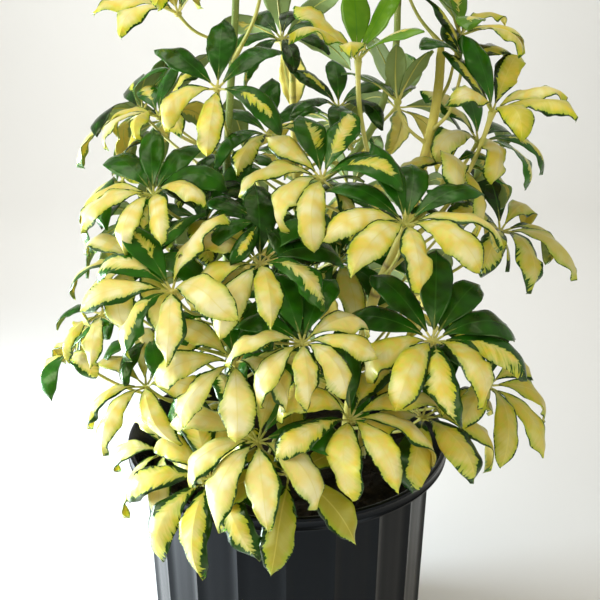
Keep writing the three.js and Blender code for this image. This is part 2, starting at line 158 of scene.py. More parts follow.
def drawnOut(tree, spot, upright):
    # A pattern on these places is stretched along Z
    return addNode(tree, "ShaderNodeMapping", {"Vector": spot, "Scale": (1.0, 1.0, upright)}).outputs[0]


def bump(tree, shader, height, strength, distance):
    node = addNode(tree, "ShaderNodeBump", {
        "Height": height, "Strength": strength, "Distance": distance,
    })
    tree.links.new(node.outputs["Normal"], shader.inputs["Normal"])


def linear(hexColour):
    parts = [int(hexColour[i:i + 2], 16) / 255 for i in (1, 3, 5)]
    return (*(c / 12.92 if c <= 0.04045 else ((c + 0.055) / 1.055) ** 2.4 for c in parts), 1)


# Leaf blade: yellow with a green margin that reaches in by the leaflet's own greenness. It reads the
# blade's attributes place (across, along and distance to the edge, in millimetres) and look
# (greenness, seed, and age from -1, dull and olive, to 1, young and bright).
leafColours = {
    "deep": "#031a02", "green": "#28690d", "youngDeep": "#4a7a0e", "young": "#749e1c",
    "lime": "#8da91c", "speck": "#1f4d10", "yellow": "#dfc136", "cream": "#ebe1ae",
    "mustard": "#b9ac12", "olive": "#958e28", "lemon": "#d0cd30", "ribGreen": "#386d22",
    "ribYellow": "#dccb64", "underGreen": "#8b9a5a", "underYellow": "#cdb95a",
}
leafPattern = {
    # Noises: scale, detail and roughness
    "fine": (0.55, 3.0, 0.65), "broad": (0.085, 1.0, 0.5), "patchy": (0.17, 2.0, 0.6),
    "streak": (0.9, 2.5, 0.6), "streakAcross": 0.10, "streakAlong": 0.55,
    "seedShift": 61.0, "sideShift": 9.0, "toneTurns": 7.3,
    # Side veins: millimetres apart, and how steeply they rise
    "veinGap": 6.2, "veinSlant": 0.8,
    # The green margin, in millimetres: least and greatest reach, and how ragged it is
    "margin": 0.42, "deepest": 13.5, "growth": 1.4, "leanMixed": 5.0, "leanPlain": 0.1,
    "looseMixed": 26.0, "loosePlain": 2.5, "jag": 1.6, "patch": 0.9,
    # Ranges: from low, from high, to low, to high
    "bandDepth": (-1.6, 1.2), "edge": (0.52, 0.62), "speckDepth": (-0.9, -0.1),
    "brightBroad": (0.3, 0.7, 0.2, 0.7), "brightTone": (0.0, 1.0, -0.45, 0.45),
    "brightGreen": (0.1, 0.5, 0.3, 1.0), "paleDepth": (0.5, 8.0, 0.0, 0.2),
    "paleBroad": (0.4, 0.66, 0.0, 0.6), "paleTone": (0.6, 1.0, 0.0, 0.35),
    "lemonPatchy": (0.42, 0.62, 0.0, 0.8), "dull": (0.1, 0.65, 0.0, 0.85),
    "dullStreak": 0.3, "dullBroad": 0.8,
    "limeDepth": (0.1, 3.4, 0.65, 0.0), "ribWidth": (8.0, 62.0, 0.42, 0.05),
    "onRib": (0.0, 0.35, 0.4, 0.0), "ribAlong": (6.0, 18.0, 0.8, 0.0), "underBand": (0.45, 0.7),
    "faintVein": (0.6, 1.0, 0.0, 0.03), "roughFine": (0.2, 0.8, 0.18, 0.28),
    "roughBand": (0.5, 0.6, 0.0, 0.12),
    "underShare": 0.78, "bumpVein": -0.3, "bumpFine": 0.6, "bumpRib": -0.2, "bumpUnderRib": 1.2,
    "bump": (0.35, 0.0003),
}
leafFinish = {
    "both": {"Subsurface Weight": 0.28, "Subsurface Radius": (0.75, 0.75, 0.2),
             "Subsurface Scale": 0.0014},
    "top": {"Specular IOR Level": 0.42, "Specular Tint": (0.86, 1.0, 0.5, 1), "Coat Weight": 0.07,
            "Coat Roughness": 0.26},
    "under": {"Roughness": 0.62, "Specular IOR Level": 0.3},
}


def leafMaterial(name, under):
    finish = leafFinish["both"] | leafFinish["under" if under else "top"]
    material, tree, shader = newMaterial(name, finish)
    paint, pattern = leafColours, leafPattern

    def ranged(value, key, **options):
        return fit(tree, value, *pattern[key], **options)

    across, along, toEdge = addNode(tree, "ShaderNodeSeparateXYZ", {0: attribute(tree, "place")}).outputs[:3]
    green, seed, age = addNode(tree, "ShaderNodeSeparateXYZ", {0: attribute(tree, "look")}).outputs[:3]
    youth = fit(tree, age, 0.0, 1.0)
    dullness = fit(tree, age, 0.0, -1.0)
    side = maths(tree, "ABSOLUTE", across)
    vein = minus(tree, along, times(tree, side, pattern["veinSlant"]))
    shift = times(tree, seed, pattern["seedShift"])
    flat = addNode(tree, "ShaderNodeCombineXYZ", {"X": across, "Y": along, "Z": shift}).outputs[0]
    ownSide = times(tree, maths(tree, "SIGN", across), pattern["sideShift"])
    streaky = addNode(tree, "ShaderNodeCombineXYZ", {
        "X": times(tree, vein, pattern["streakAlong"]), "Y": times(tree, side, pattern["streakAcross"]),
        "Z": plus(tree, shift, ownSide),
    }).outputs[0]
    fine, broad, patchy = (noiseAt(tree, flat, *pattern[key]) for key in ("fine", "broad", "patchy"))
    streak = noiseAt(tree, streaky, *pattern["streak"])
    # How far the green reaches in from the edge
    mixed = times(tree, green, minus(tree, 1.0, green))
    lean = times(tree, times(tree, across, minus(tree, seed, 0.5)),
                 maths(tree, "MULTIPLY_ADD", mixed, pattern["leanMixed"], pattern["leanPlain"]))
    reach = times(tree, maths(tree, "POWER", green, pattern["growth"]), pattern["deepest"])
    loose = maths(tree, "MULTIPLY_ADD", mixed, pattern["looseMixed"], pattern["loosePlain"])
    uneven = times(tree, minus(tree, streak, 0.5), loose)
    jag = times(tree, minus(tree, fine, 0.45), pattern["jag"])
    patch = times(tree, minus(tree, broad, 0.5), times(tree, loose, pattern["patch"]))
    reach = plus(tree, plus(tree, reach, pattern["margin"], uneven), plus(tree, jag, patch, lean))
    depth = minus(tree, toEdge, reach)
    band = ranged(depth, "bandDepth")
    # The greens brighten in broad patches and from leaflet to leaflet
    tone = maths(tree, "FRACT", times(tree, seed, pattern["toneTurns"]))
    bright = plus(tree, ranged(broad, "brightBroad"), ranged(tone, "brightTone"))
    bright = times(tree, fit(tree, bright, 0.0, 1.0), ranged(green, "brightGreen"))
    greens = mixColour(tree, bright, mixColour(tree, youth, paint["deep"], paint["youngDeep"]),
                       mixColour(tree, youth, paint["green"], paint["young"]))
    # The yellows pale to cream in broad patches, dull to mustard in streaks, and turn lime beside the green
    pale = plus(tree, ranged(depth, "paleDepth"), ranged(broad, "paleBroad"), ranged(tone, "paleTone"))
    golden = mixColour(tree, ranged(patchy, "lemonPatchy"), paint["yellow"], paint["lemon"])
    warm = mixColour(tree, pale, golden, paint["cream"])
    dull = plus(tree, times(tree, streak, pattern["dullStreak"]), times(tree, broad, pattern["dullBroad"]))
    dull = minus(tree, dull, tone)
    warm = mixColour(tree, ranged(dull, "dull"), warm, paint["mustard"])
    warm = mixColour(tree, dullness, warm, paint["olive"])
    lime = mixColour(tree, ranged(depth, "limeDepth"), warm, paint["lime"])
    speck = mixColour(tree, ranged(depth, "speckDepth"), greens, paint["speck"])
    colour = mixColour(tree, ranged(band, "edge", smooth=True), speck, lime)
    onRib = ranged(minus(tree, side, ranged(along, "ribWidth")), "onRib")
    ribColour = mixColour(tree, band, paint["ribGreen"], paint["ribYellow"])
    ribColour = mixColour(tree, ranged(along, "ribAlong"), ribColour, paint["ribYellow"])
    colour = mixColour(tree, onRib, colour, ribColour)
    veinWave = maths(tree, "SINE", times(tree, vein, 2 * math.pi / pattern["veinGap"]))
    if under:
        back = mixColour(tree, ranged(band, "underBand"), paint["underGreen"], paint["underYellow"])
        colour = mixColour(tree, pattern["underShare"], colour, back)
    else:
        colour = mixColour(tree, ranged(veinWave, "faintVein"), colour, ribColour)
        rough = plus(tree, ranged(fine, "roughFine"), ranged(band, "roughBand"))
        connect(tree, shader, {"Roughness": rough})
    connect(tree, shader, {"Base Color": colour})
    raised = plus(tree, times(tree, veinWave, pattern["bumpVein"]), times(tree, fine, pattern["bumpFine"]),
                  times(tree, onRib, pattern["bumpUnderRib" if under else "bumpRib"]))
    bump(tree, shader, raised, *pattern["bump"])
    return material


# Petiole, stalks, hub and midrib: waxy yellow-green
stalkLook = {
    "light": "#d2c768", "dark": "#a7a944", "patchy": (55.0, 3.0), "mottle": (0.35, 0.65),
    "grain": (420.0, 2.0), "rough": (0.2, 0.8, 0.36, 0.52), "bump": (0.15, 0.0002),
    "finish": {"Subsurface Weight": 0.1, "Subsurface Radius": (0.9, 0.8, 0.3),
               "Subsurface Scale": 0.001},
}


def stalkMaterial(name):
    material, tree, shader = newMaterial(name, stalkLook["finish"])
    spot = objectPlace(tree)
    patchy = noiseAt(tree, spot, *stalkLook["patchy"])
    colour = mixColour(tree, fit(tree, patchy, *stalkLook["mottle"]), stalkLook["light"], stalkLook["dark"])
    connect(tree, shader, {"Base Color": colour, "Roughness": fit(tree, patchy, *stalkLook["rough"])})
    bump(tree, shader, noiseAt(tree, spot, *stalkLook["grain"]), *stalkLook["bump"])
    return material


# Stem bark: smooth, with darker streaks, pale corky specks and a brown scar at each node
barkLook = {
    "streaks": (90.0, 4.0, 0.6), "upright": 0.22, "darken": (0.35, 0.66), "fine": (700.0, 2.0),
    "specks": 320.0, "speckSize": (0.12, 0.2, 0.55, 0.0), "speckColour": "#cdbf90",
    "scarFray": 0.35, "scarFrom": (0.5, 1.0), "rough": (0.2, 0.8, 0.48, 0.68), "grain": 0.4,
    "bump": (0.4, 0.0006),
}


def barkMaterial(name, light, dark, scar):
    material, tree, shader = newMaterial(name, {})
    spot = objectPlace(tree)
    streaks = noiseAt(tree, drawnOut(tree, spot, barkLook["upright"]), *barkLook["streaks"])
    fine = noiseAt(tree, spot, *barkLook["fine"])
    colour = mixColour(tree, fit(tree, streaks, *barkLook["darken"]), light, dark)
    speck = addNode(tree, "ShaderNodeTexVoronoi", {"Vector": spot, "Scale": barkLook["specks"]})
    colour = mixColour(tree, fit(tree, speck.outputs["Distance"], *barkLook["speckSize"]), colour,
                       barkLook["speckColour"])
    scarred = plus(tree, attribute(tree, "scar", "Fac"), times(tree, fine, barkLook["scarFray"]))
    colour = mixColour(tree, fit(tree, scarred, *barkLook["scarFrom"]), colour, scar)
    connect(tree, shader, {"Base Color": colour, "Roughness": fit(tree, streaks, *barkLook["rough"])})
    bump(tree, shader, plus(tree, streaks, times(tree, fine, barkLook["grain"])), *barkLook["bump"])
    return material


soilLook = {
    "coarse": (90.0, 5.0, 0.7), "fine": (650.0, 3.0, 0.7),
    "browns": ((0.3, "#0c0a08"), (0.5, "#1d1813"), (0.72, "#352b21")),
    "fibres": (0.62, 0.75, 0.0, 0.5), "fibreColour": "#574a38", "grain": 0.5, "bump": (0.8, 0.002),
    "finish": {"Roughness": 0.95, "Specular IOR Level": 0.15},
}


def soilMaterial(name):
    material, tree, shader = newMaterial(name, soilLook["finish"])
    spot = objectPlace(tree)
    coarse = noiseAt(tree, spot, *soilLook["coarse"])
    fine = noiseAt(tree, spot, *soilLook["fine"])
    colour = mixColour(tree, fit(tree, fine, *soilLook["fibres"]), ramp(tree, coarse, soilLook["browns"]),
                       soilLook["fibreColour"])
    connect(tree, shader, {"Base Color": colour})
    bump(tree, shader, plus(tree, coarse, times(tree, fine, soilLook["grain"])), *soilLook["bump"])
    return material


# Pot: black moulded plastic with faint flow lines and a little dust
potLook = {
    "dark": "#030304", "light": "#09090b", "lighten": (0.35, 0.7), "rough": (0.3, 0.7, 0.17, 0.25),
    "flow": (60.0, 3.0, 0.55), "upright": 0.12, "cloudy": (14.0, 4.0, 0.6), "fine": (900.0, 2.0),
    "dustColour": "#5b574e", "dust": 0.04, "dustRough": 0.25, "dustCloudy": (0.5, 0.75),
    "dustFine": (0.4, 0.8), "grain": 0.12, "bump": (0.12, 0.0008),
    "finish": {"Specular IOR Level": 0.17, "Specular Tint": (0.75, 0.88, 1.0, 1)},
}


def potMaterial(name):
    material, tree, shader = newMaterial(name, potLook["finish"])
    spot = objectPlace(tree)
    flow = noiseAt(tree, drawnOut(tree, spot, potLook["upright"]), *potLook["flow"])
    cloudy = noiseAt(tree, spot, *potLook["cloudy"])
    fine = noiseAt(tree, spot, *potLook["fine"])
    dust = times(tree, fit(tree, cloudy, *potLook["dustCloudy"]), fit(tree, fine, *potLook["dustFine"]))
    colour = mixColour(tree, fit(tree, cloudy, *potLook["lighten"]), potLook["dark"], potLook["light"])
    colour = mixColour(tree, times(tree, dust, potLook["dust"]), colour, potLook["dustColour"])
    rough = plus(tree, fit(tree, flow, *potLook["rough"]), times(tree, dust, potLook["dustRough"]))
    connect(tree, shader, {"Base Color": colour, "Roughness": rough})
    bump(tree, shader, plus(tree, flow, times(tree, fine, potLook["grain"])), *potLook["bump"])
    return material


leafTop = leafMaterial("leafTop", False)
leafUnder = leafMaterial("leafUnder", True)
stalk = stalkMaterial("stalk")
barkGreen = barkMaterial("barkGreen", "#9bab4e", "#6f8236", "#5d4b2f")
barkYellow = barkMaterial("barkYellow", "#e6d668", "#c9bc50", "#a08a48")
pottingMix = soilMaterial("pottingMix")
blackPlastic = potMaterial("blackPlastic")
print("materials made")


# Mesh helpers
def named(name, *materials):
    piece = bpy.context.object
    piece.name = name
    piece.data.name = name
    piece.data.materials.clear()
    for material in materials:
        piece.data.materials.append(material)
    return piece


def onlySelected(piece):
    selectNothing()
    piece.select_set(True)
    bpy.context.view_layer.objects.active = piece


def joined(parts):
    # Joins the parts into the first of them
    onlySelected(parts[0])
    for part in parts:
        part.select_set(True)
    bpy.ops.object.join()
    return bpy.context.object


def pickVerts(piece, test):
    # In edit mode: selects the vertices whose place passes the test
    mesh = bmesh.from_edit_mesh(piece.data)
    mesh.select_mode = {"VERT"}
    for vert in mesh.verts:
        vert.select = bool(test(vert.co))
    mesh.select_flush_mode()
    bmesh.update_edit_mesh(piece.data)


def pickEdges(piece, test):
    # In edit mode: selects the edges that pass the test
    mesh = bmesh.from_edit_mesh(piece.data)
    mesh.select_mode = {"EDGE"}
    for edge in mesh.edges:
        edge.select = test(edge)
    bmesh.update_edit_mesh(piece.data)


def applyModifiers(piece):
    onlySelected(piece)
    for modifier in list(piece.modifiers):
        bpy.ops.object.modifier_apply(modifier=modifier.name)


def mergedMesh(node):
    mesh = bmesh.new()
    mesh.from_mesh(node.data)
    bmesh.ops.remove_doubles(mesh, verts=mesh.verts, dist=2e-5)
    return mesh


def coordinates(mesh):
    flat = np.empty(len(mesh.vertices) * 3, np.float32)
    mesh.vertices.foreach_get("co", flat)
    return flat.reshape(-1, 3).astype(float)


def setCoordinates(mesh, places):
    mesh.vertices.foreach_set("co", np.asarray(places, np.float32).ravel())
    mesh.update()


def setAttribute(mesh, name, kind, values):
    attribute = mesh.attributes.get(name) or mesh.attributes.new(name, kind, "POINT")
    field = "vector" if kind == "FLOAT_VECTOR" else "value"
    attribute.data.foreach_set(field, np.asarray(values, np.float32).ravel())


def newCopy(blank, places, look=None):
    piece = bpy.data.objects.new("part", blank.data.copy())
    bpy.context.scene.collection.objects.link(piece)
    setCoordinates(piece.data, places)
    if look is not None:
        setAttribute(piece.data, "look", "FLOAT_VECTOR", np.tile(look, (len(places), 1)))
    return piece


def unit(vectors):
    return vectors / np.maximum(np.linalg.norm(vectors, axis=-1, keepdims=True), 1e-12)


# Where each point of a line lies, as a share of its length, and the length
def measured(line):
    lengths = np.concatenate([[0], np.cumsum(np.linalg.norm(np.diff(line, axis=0), axis=1))])
    return lengths / lengths[-1], lengths[-1]


# A smooth line through points at the given knots, read at the given places
def splineAt(knots, points, where):
    slopes = np.empty_like(points)
    steps = np.diff(knots)[:, None]
    rates = np.diff(points, axis=0) / steps
    slopes[1:-1] = (rates[:-1] * steps[1:] + rates[1:] * steps[:-1]) / (steps[:-1] + steps[1:])
    slopes[0] = 1.5 * rates[0] - 0.5 * slopes[1]
    slopes[-1] = 1.5 * rates[-1] - 0.5 * slopes[-2]
    index = np.clip(np.searchsorted(knots, where, side="right") - 1, 0, len(knots) - 2)
    step = steps[index]
    t = ((where - knots[index])[:, None]) / step
    return (points[index] * (2 * t ** 3 - 3 * t ** 2 + 1) + points[index + 1] * (3 * t ** 2 - 2 * t ** 3)
            + slopes[index] * step * (t ** 3 - 2 * t ** 2 + t) + slopes[index + 1] * step * (t ** 3 - t ** 2))


# Lays points (x sideways, y share of the line, z up) along a line with a given upper side, and
# rolls them round the line by the given angles
def layAlong(knots, line, uppers, local, roll=0.0):
    nudge = 0.004
    share = local[:, 1]
    spot = splineAt(knots, line, share)
    ahead = unit(splineAt(knots, line, share + nudge) - splineAt(knots, line, share - nudge))
    upward = splineAt(knots, uppers, np.clip(share, knots[0], knots[-1]))
    leftward = unit(np.cross(upward, ahead))
    upward = np.cross(ahead, leftward)
    sideways = local[:, 0] * np.cos(roll) - local[:, 2] * np.sin(roll)
    height = local[:, 0] * np.sin(roll) + local[:, 2] * np.cos(roll)
    return spot + leftward * sideways[:, None] + upward * height[:, None]


# Leaflet blanks: flat, at real size, x across, y from the hub to the tip. Each leaflet is a copy of
# one of them, laid along its own line. An outline's rows are the share of the length and of the
# greatest width.
leafletShape = {
    "length": 0.066, "halfWidth": 0.0105, "thick": 0.00045, "bladeStart": 0.12, "crowding": 0.11,
    "ripple": 0.012, "ripples": 41, "groove": 0.0001, "grooveWide": 0.0018, "tipEdge": 0.6,
    "rows": 26, "columns": (-1, -0.8, -0.58, -0.37, -0.18, -0.05, 0, 0.05, 0.18, 0.37, 0.58, 0.8, 1),
    "innerRows": 14, "innerColumns": (-1, -0.66, -0.3, 0, 0.3, 0.66, 1),
    "blunt": ((0.12, 0.06), (0.2, 0.25), (0.3, 0.55), (0.42, 0.83), (0.54, 0.98), (0.64, 1.0),
              (0.76, 0.92), (0.86, 0.73), (0.93, 0.49), (0.975, 0.26), (1.0, 0.02)),
    "pointed": ((0.12, 0.06), (0.2, 0.24), (0.3, 0.54), (0.42, 0.83), (0.54, 0.99), (0.64, 1.0),
                (0.76, 0.85), (0.86, 0.58), (0.92, 0.34), (0.965, 0.15), (1.0, 0.02)),
    "slim": ((0.12, 0.06), (0.2, 0.2), (0.3, 0.43), (0.42, 0.70), (0.55, 0.87), (0.69, 0.93),
             (0.81, 0.82), (0.9, 0.56), (0.95, 0.32), (0.98, 0.16), (1.0, 0.02)),
}
kinds = ("blunt", "pointed", "slim")


def leafletBlank(name, outline, rows, columns):
    shape = leafletShape
    selectNothing()
    bpy.ops.mesh.primitive_grid_add(x_subdivisions=len(columns) - 1, y_subdivisions=rows, size=2)
    blank = named(name, leafTop, leafUnder)
    places = coordinates(blank.data)
    column = np.rint((places[:, 0] + 1) / 2 * (len(columns) - 1)).astype(int)
    share = (places[:, 1] + 1) / 2
    share = share + shape["crowding"] * np.sin(math.pi * share)  # closer rows near the tip
    share = shape["bladeStart"] + (1 - shape["bladeStart"]) * share
    shares, widths = np.array(outline).T
    half = shape["halfWidth"] * np.clip(splineAt(shares, widths[:, None], share)[:, 0], 0.02, None)
    across = np.array(columns)[column]
    ripple = 1 + shape["ripple"] * np.sin(share * shape["ripples"]) * np.abs(across) ** 4
    places[:, 0] = across * half * ripple
    places[:, 1] = share * shape["length"]
    places[:, 2] = -shape["groove"] * np.exp(-(np.abs(places[:, 0]) / shape["grooveWide"]) ** 2)
    setCoordinates(blank.data, places)
    toEdge = (1 - np.abs(across)) * half
    toTip = (1 - share) * shape["length"] * shape["tipEdge"]
    setAttribute(blank.data, "place", "FLOAT_VECTOR", np.stack([
        places[:, 0] * 1000, places[:, 1] * 1000, np.minimum(toEdge, toTip) * 1000], axis=1))
    setAttribute(blank.data, "cross", "FLOAT", across)
    setAttribute(blank.data, "look", "FLOAT_VECTOR", np.zeros_like(places))
    skin = blank.modifiers.new("skin", "SOLIDIFY")
    skin.thickness = shape["thick"]
    skin.offset = -1
    skin.material_offset = 1
    skin.material_offset_rim = 0
    applyModifiers(blank)
    onlySelected(blank)
    bpy.ops.object.shade_smooth()
    return blank


blanks = [leafletBlank(place + kind, leafletShape[kind], leafletShape[rows], leafletShape[columns])
          for place, rows, columns in (("", "rows", "columns"), ("inner", "innerRows", "innerColumns"))
          for kind in kinds]
print("leaflet blanks:", [len(blank.data.polygons) for blank in blanks], "faces")


# A round rod of radius 1 that stands on the origin, 1 high, for petioles, ribs and stems
def rodBlank(name, sides, rings, *materials):
    selectNothing()
    bpy.ops.mesh.primitive_cylinder_add(vertices=sides, radius=1, depth=1, location=(0, 0, 0.5),
                                        end_fill_type="TRIFAN")
    rod = named(name, *materials)
    bpy.ops.object.transform_apply(location=True, rotation=True, scale=True)
    bpy.ops.object.mode_set(mode="EDIT")
    pickEdges(rod, lambda edge: abs(edge.verts[0].co.z - edge.verts[1].co.z) > 0.5)
    bpy.ops.mesh.subdivide(number_cuts=rings)
    bpy.ops.object.mode_set(mode="OBJECT")
    setAttribute(rod.data, "look", "FLOAT_VECTOR", np.zeros((len(rod.data.vertices), 3)))
    bpy.ops.object.shade_smooth_by_angle(angle=math.radians(50))
    return rod


ribBlank = rodBlank("ribBlank", 6, 12, stalk)
petioleBlank = rodBlank("petioleBlank", 8, 16, stalk)

selectNothing()
bpy.ops.mesh.primitive_uv_sphere_add(segments=12, ring_count=7, radius=1)
hubBlank = named("hubBlank", stalk)
bpy.ops.object.shade_smooth()
print("rod and hub blanks made")

# How a packed leaf is made: depths, gaps and reaches in metres, and the shares of a leaflet's line
# at which it has its hub, rings and tip
packedLeaf = {
    "hubDepth": 0.0019, "hubClear": 0.0085, "ringGap": 0.0042, "ringPoints": 4, "footReach": 0.0035,
    "hubHalf": 0.001, "leafletRings": 4, "shares": (0.0, 0.2, 0.42, 0.66, 0.87, 1.0),
}
knotShares = np.array(packedLeaf["shares"])


# What a packed leaf says: its hub, upper side, leaflets and petiole
def readLeaf(node):
    mesh = mergedMesh(node)
    mesh.normal_update()
    above = max(mesh.verts, key=lambda vert: len(vert.link_edges))
    facing = above.normal.copy()
    hub = above.co - facing * packedLeaf["hubDepth"]
    leaflets = []
    used = set()
    for tip in mesh.verts:
        if len(tip.link_edges) != 3:
            continue
        ring = [edge.other_vert(tip) for edge in tip.link_edges]
        rings = [ring]
        seen = {tip, *ring}
        while len(rings) < packedLeaf["leafletRings"]:
            ring = list({edge.other_vert(vert) for vert in ring for edge in vert.link_edges} - seen)
            rings.append(ring)
            seen.update(ring)
        if all(len(ring) == 3 for ring in rings):
            rings.reverse()
            leaflets.append(([[vert.co.copy() for vert in ring] for ring in rings], tip.co.copy()))
            used |= seen
    rest = [vert.co.copy() for vert in mesh.verts
            if vert not in used and (vert.co - hub).length > packedLeaf["hubClear"]]
    mesh.free()
    leaflets = [orderRings(rings, tip, hub) for rings, tip in leaflets]
    return hub, facing, leaflets, petioleLine(rest, hub)


# A leaflet's line with its upper sides and half widths, from the hub over the rings to the tip
def orderRings(rings, tip, hub):
    wide = rings[2]
    a, b, c = max(((0, 1, 2), (1, 2, 0), (2, 0, 1)), key=lambda p: (wide[p[0]] - wide[p[1]]).length)
    upper = (wide[c] - (wide[a] + wide[b]) / 2).normalized()
    middles, uppers, halves = [hub], [], [packedLeaf["hubHalf"]]
    for ring in rings:
        centre = (ring[0] + ring[1] + ring[2]) / 3
        rib = max(ring, key=lambda place: (place - centre).dot(upper))
        edges = [place for place in ring if place is not rib]
        between = (edges[0] + edges[1]) / 2
        middles.append((rib + between) / 2)
        uppers.append((rib - between).normalized())
        halves.append((edges[0] - edges[1]).length / 2)
    uppers = [uppers[0], *uppers, uppers[-1]]
    return [np.array([*middles, tip]), np.array(uppers), np.array([*halves, 0.0])]


# The petiole's line: the middles of its rings, from the stem to the hub
def petioleLine(rest, hub):
    groups = []
    for place in sorted(rest, key=lambda spot: (spot - hub).length):
        for group in groups:
            if min((place - other).length for other in group) < packedLeaf["ringGap"]:
                group.append(place)
                break
        else:
            groups.append([place])
    middles = [sum(group, Vector()) / len(group) for group in groups
               if len(group) >= packedLeaf["ringPoints"]]
    middles.sort(key=lambda spot: (spot - hub).length)
    middles = [hub] + middles
    middles.append(middles[-1] + (middles[-1] - middles[-2]).normalized() * packedLeaf["footReach"])
    return np.array(middles[::-1])


# Look of the leaves, by the leaf's number. Each has a green side: the direction of its middle, in
# degrees clockwise from straight up as its front is seen, and how far the green reaches to either
# side of that.
leafLook = {
    "greenSide": {
        1: (0, 82), 2: (-28, 60), 3: (12, 102), 4: (-5, 80), 5: (78, 30), 6: (0, 28), 7: (0, 86),
        8: (32, 62), 9: (40, 76), 10: (38, 72), 11: (-20, 52), 12: (45, 42), 13: (-45, 36),
        14: (70, 26), 15: (20, 46), 16: (0, 44), 17: (0, 10), 18: (-20, 40), 19: (-10, 52),
        20: (110, 85), 21: (124, 0), 22: (-20, 52), 24: (-40, 80), 25: (0, 180), 26: (20, 40),
        27: (0, 60), 28: (0, 0), 29: (-30, 116), 30: (0, 150), 31: (0, 150), 32: (0, 50), 34: (0, 110),
    },
    "elsewhere": (0, 95), "edge": 14, "low": 0.03, "high": 0.97, "unsure": 0.06,
    # How many leaflets stray from their side, and how green those are
    "strayGreen": 0.22, "strayRange": (0.16, 0.4), "strayMixed": 0.14, "mixedRange": (0.45, 0.75),
    "mixed": {
        1: 0.0, 2: 0.0, 3: 0.0, 4: 0.0, 7: 0.0, 8: 0.6, 9: 0.5, 10: 0.8, 11: 0.5, 13: 0.5, 18: 0.7,
        22: 0.5, 25: 0.0, 29: 0.4, 32: 0.5,
    },
    # How pale the yellow is, from 0, mustard, to 1, cream
    "tone": {
        1: 0.5, 2: 0.7, 3: 0.4, 4: 0.4, 5: 0.8, 6: 0.35, 7: 0.6, 8: 0.78, 10: 0.6, 12: 0.35, 13: 0.75,
        14: 0.3, 15: 0.78, 16: 0.15, 17: 0.6, 18: 0.8, 26: 0.7, 27: 0.2, 28: 0.05,
    },
    "toneSpread": 0.18,
    # Thicker petioles, and leaves that are young (above 0) or old (below 0)
    "stout": {
        11: 1.45, 12: 1.5, 20: 1.2, 21: 1.2, 22: 1.2,
    },
    "age": {
        9: -0.15, 12: 1.0, 16: -0.2, 19: -0.5, 20: -0.3, 21: -0.4, 24: 0.6, 25: 0.3, 27: -0.3, 28: -0.8,
        29: -0.3, 31: -0.3,
    },
}


def ownLook(kind, name, otherwise=None):
    key = int(name.removeprefix("leaf_")) if name.startswith("leaf_") else name
    return leafLook[kind].get(key, otherwise)


def greenness(name, turn, draw):
    # turn is the leaflet's own direction, clockwise from up, in degrees
    middle, half = ownLook("greenSide", name, leafLook["elsewhere"])
    away = abs((turn - middle + 180) % 360 - 180)
    share = min(max((half + leafLook["edge"] - away) / (2 * leafLook["edge"]), 0), 1)
    value = leafLook["low"] + (leafLook["high"] - leafLook["low"]) * share
    roll = draw.random()
    if share < 0.5 and roll < leafLook["strayGreen"]:
        value = draw.uniform(*leafLook["strayRange"])
    if share >= 0.5 and roll < ownLook("mixed", name, leafLook["strayMixed"]):
        value = draw.uniform(*leafLook["mixedRange"])
    return min(max(value + leafLook["unsure"] * (draw.random() - 0.5), 0.0), 1.0)


blankPlaces = [coordinates(blank.data) for blank in blanks]
blankCross = []
for blank in blanks:
    values = np.empty(len(blank.data.vertices), np.float32)
    blank.data.attributes["cross"].data.foreach_get("value", values)
    blankCross.append(values.astype(float))
ribPlaces = coordinates(ribBlank.data)
petiolePlaces = coordinates(petioleBlank.data)
hubPlaces = coordinates(hubBlank.data)

# How a green leaflet, which stays firm, and a yellow one, which crinkles, are bent. Metres and
# degrees; kinds are the weights of the three outlines, and of a pair each leaflet draws its own.
leafletBends = {
    "green": {
        "kinds": (6, 3, 1), "size": 0.97, "cup": (0.4, 1.0), "fold": (1.3, 1.8), "lobes": (0.0, 0.03),
        "dents": (0.0, 0.012), "wave": (0.0004, 0.001), "swing": (-0.0035, 0.0035),
        "droop": (-0.001, 0.003), "hook": 0.0015, "twist": 8,
    },
    "yellow": {
        "kinds": (6, 4, 3), "size": (0.84, 0.97), "cup": (0.8, 1.8), "fold": (1.05, 1.7),
        "lobes": (0.03, 0.1), "dents": (0.015, 0.04), "wave": (0.0012, 0.003), "swing": (-0.006, 0.006),
        "droop": (-0.002, 0.008), "hook": (0.002, 0.008), "twist": 17,
    },
    # What both share: waves along the margin, the blade's height over the line and its cupping
    "lobeCount": (1.5, 3.2), "dentCount": (4.5, 7.5), "ruffleCount": (4, 6.5), "waveCount": (1.6, 2.8),
    "ruffle": 0.3, "rise": 0.0011, "depth": 0.0026,
    # Where along the leaflet each of them starts, and over what share it comes in
    "cupIn": (0.2, 0.35), "riseIn": (0.15, 0.1), "swingIn": (0.25, 1), "hookIn": (0.66, 0.34),
    "swingTimes": 3,
}
# Stalk, rib and petiole: radii in millimetres at shares of their length, the rest in metres
rodShape = {
    "ribFrom": 0.02, "ribReach": 0.94,
    "ribShares": (0, 0.12, 0.24, 0.5, 0.96), "ribRadii": (1.05, 0.8, 0.72, 0.5, 0.16),
    "dropShares": (0, 0.14, 0.3, 1), "drops": (0, 0, 0.00005, 0.00012),
    "underBlade": 0.0004, "underBladeIn": (0.14, 0.1),
    "petioleShares": (0, 0.06, 0.14, 0.5, 0.93, 1.0),
    "petioleRadii": (2.3, 2.05, 1.45, 1.2, 1.3, 2.0),
    "hub": (0.0031, 0.0031, 0.0022),
}


def comesIn(share, start, over):
    return np.clip((share - start) / over, 0, 1)


def pick(draw, span):
    return draw.uniform(*span) if isinstance(span, tuple) else span


def waves(draw, share, counts):
    return np.sin(2 * math.pi * (draw.uniform(*counts) * share + draw.random()))


